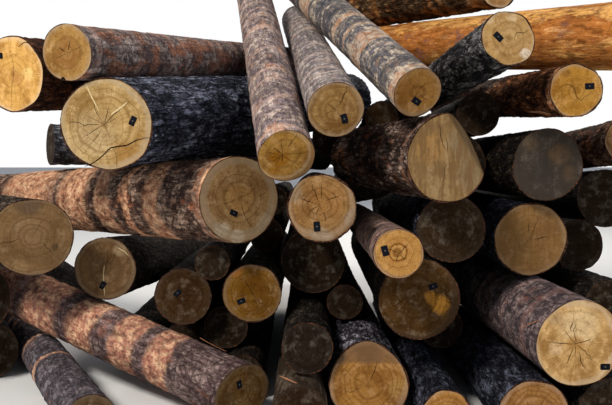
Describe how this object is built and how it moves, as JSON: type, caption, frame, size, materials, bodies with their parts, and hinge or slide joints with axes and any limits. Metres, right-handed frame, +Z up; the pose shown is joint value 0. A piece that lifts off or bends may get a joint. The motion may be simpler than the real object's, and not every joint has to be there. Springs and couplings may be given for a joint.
{
  "type": "stack of logs",
  "caption": "Loose pile of sawlogs of mixed diameters with bark on, lying on and across one another, sawn ends to the front.",
  "frame": {"origin": "middle of the pile's bounding box, on the ground", "axes": "+Z up, +X to the right as seen from the front, where the sawn ends are, +Y towards the back along the logs"},
  "size_m": [6.0593, 4.6043, 3.1229],
  "materials": {
    "brown_bark": "rough bark",
    "grey_bark": "rough fissured bark",
    "pinkish_bark": "rough flaky bark",
    "peeled_wood": "bare weathered wood",
    "tag_plastic": "matte"
  },
  "bodies": {
    "root": {"bark_seam": "brown_bark", "black_face": "grey_bark", "blue_sapwood": "brown_bark", "bright_edge": "brown_bark", "cracked_ochre": "brown_bark", "crooked_bolt": "grey_bark", "crossing_lower": "grey_bark", "crossing_upper": "pinkish_bark", "crown_back": "grey_bark", "debarked_top": "peeled_wood", "dim_right": "brown_bark", "end_tags": "tag_plastic", "gap_small": "brown_bark", "ground_grey": "brown_bark", "ground_left": "pinkish_bark", "ground_peeled": "peeled_wood", "ground_small": "brown_bark", "ground_stepped": "brown_bark", "inner_far_left": "brown_bark", "inner_gap_left": "brown_bark", "inner_gap_low": "brown_bark", "inner_gap_middle": "brown_bark", "inner_gap_upper": "brown_bark", "inner_ground_back": "brown_bark", "inner_ground_back_left": "brown_bark", "inner_ground_far_right": "brown_bark", "inner_ground_middle": "brown_bark", "inner_ground_right": "brown_bark", "inner_low_middle": "brown_bark", "inner_low_right": "brown_bark", "inner_mid_far_right": "brown_bark", "inner_mid_left": "brown_bark", "inner_mid_middle": "brown_bark", "inner_mid_small": "brown_bark", "inner_right_edge": "brown_bark", "inner_top_left": "brown_bark", "inner_top_right": "brown_bark", "inner_upper_middle": "brown_bark", "inner_upper_right": "brown_bark", "knot_ring": "pinkish_bark", "leaning_right": "pinkish_bark", "lobed_top": "grey_bark", "lower_right": "pinkish_bark", "notched_top": "grey_bark", "ochre_right": "brown_bark", "outer_crossing_left": "brown_bark", "outer_ground_far_left": "brown_bark", "outer_ground_left": "brown_bark", "ridged_back": "grey_bark", "right_edge": "brown_bark", "second_row_left": "brown_bark", "shaded_small": "brown_bark", "small_yellow": "pinkish_bark", "star_cracks": "pinkish_bark", "streaked_left": "grey_bark", "sunlit_corner": "brown_bark", "weathered_left": "grey_bark", "wrinkled_bark": "pinkish_bark"}
  },
  "joints": []
}
